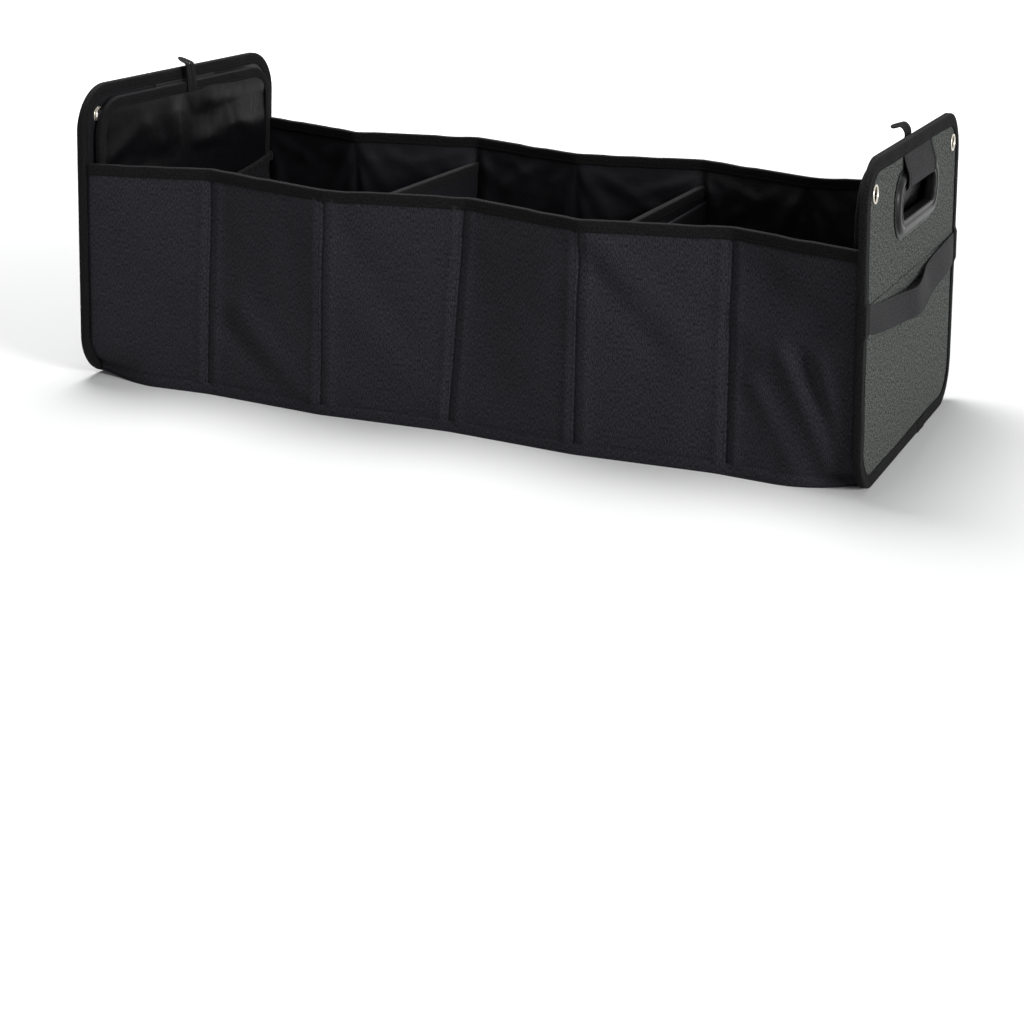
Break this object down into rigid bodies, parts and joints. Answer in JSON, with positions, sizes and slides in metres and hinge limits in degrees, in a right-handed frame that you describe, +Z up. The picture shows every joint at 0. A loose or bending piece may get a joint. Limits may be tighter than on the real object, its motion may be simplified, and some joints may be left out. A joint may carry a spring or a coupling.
{
  "type": "car trunk organizer",
  "caption": "Open fabric trunk organizer box with stiff grey end panels, moulded hand holes, creased black walls, dividers, loose base boards behind mesh pockets and a closing strap.",
  "frame": {"origin": "on the ground at the middle of the bounding box, the strap's bulge included", "axes": "+X to the right, towards the end panel with the closing strap; +Y from the front wall to the back wall; +Z up"},
  "size_m": [0.7676, 0.35, 0.292],
  "materials": {
    "heather_fabric": "grey heather polyester weave, matt",
    "black_canvas": "black coated polyester canvas, fine weave",
    "binding_tape": "black ribbed grosgrain tape",
    "nylon_lining": "black nylon lining, soft sheen",
    "mesh": "black knitted mesh",
    "webbing": "black woven webbing",
    "stiff_board": "grey stiffener board inside the cloth",
    "moulded_plastic": "black moulded plastic, semi-gloss",
    "nickel": "nickel-plated eyelet"
  },
  "bodies": {
    "root": {"left_panel_board": "stiff_board", "left_panel_lining": "nylon_lining", "left_cover_upper": "heather_fabric", "left_cover_lower": "heather_fabric", "left_panel_binding": "binding_tape", "left_handle_insert": "moulded_plastic", "left_grip_wrap": "black_canvas", "left_eyelet_front": "nickel", "left_eyelet_washer_front": "nickel", "left_eyelet_back": "nickel", "left_eyelet_washer_back": "nickel", "left_base_board": "nylon_lining", "left_base_board_binding": "binding_tape", "left_pull_loop": "binding_tape", "left_mesh_pocket": "mesh", "left_mesh_pocket_binding": "binding_tape", "right_panel_board": "stiff_board", "right_panel_lining": "nylon_lining", "right_cover_upper": "heather_fabric", "right_cover_lower": "heather_fabric", "right_panel_binding": "binding_tape", "right_handle_insert": "moulded_plastic", "right_grip_wrap": "black_canvas", "right_eyelet_front": "nickel", "right_eyelet_washer_front": "nickel", "right_eyelet_back": "nickel", "right_eyelet_washer_back": "nickel", "right_base_board": "nylon_lining", "right_base_board_binding": "binding_tape", "right_pull_loop": "binding_tape", "right_mesh_pocket": "mesh", "right_mesh_pocket_binding": "binding_tape", "right_closing_strap": "webbing", "front_wall_fabric": "black_canvas", "front_wall_lining": "nylon_lining", "front_wall_binding": "binding_tape", "front_wall_hem": "black_canvas", "front_stiffener_1": "stiff_board", "front_stiffener_2": "stiff_board", "front_stiffener_3": "stiff_board", "front_stiffener_4": "stiff_board", "front_stiffener_5": "stiff_board", "front_stiffener_6": "stiff_board", "back_wall_fabric": "black_canvas", "back_wall_lining": "nylon_lining", "back_wall_binding": "binding_tape", "back_wall_hem": "black_canvas", "back_stiffener_1": "stiff_board", "back_stiffener_2": "stiff_board", "back_stiffener_3": "stiff_board", "back_stiffener_4": "stiff_board", "back_stiffener_5": "stiff_board", "back_stiffener_6": "stiff_board", "floor": "black_canvas", "left_divider": "nylon_lining", "left_divider_binding": "binding_tape", "right_divider": "nylon_lining", "right_divider_binding": "binding_tape", "right_divider_pocket": "nylon_lining"}
  },
  "joints": []
}
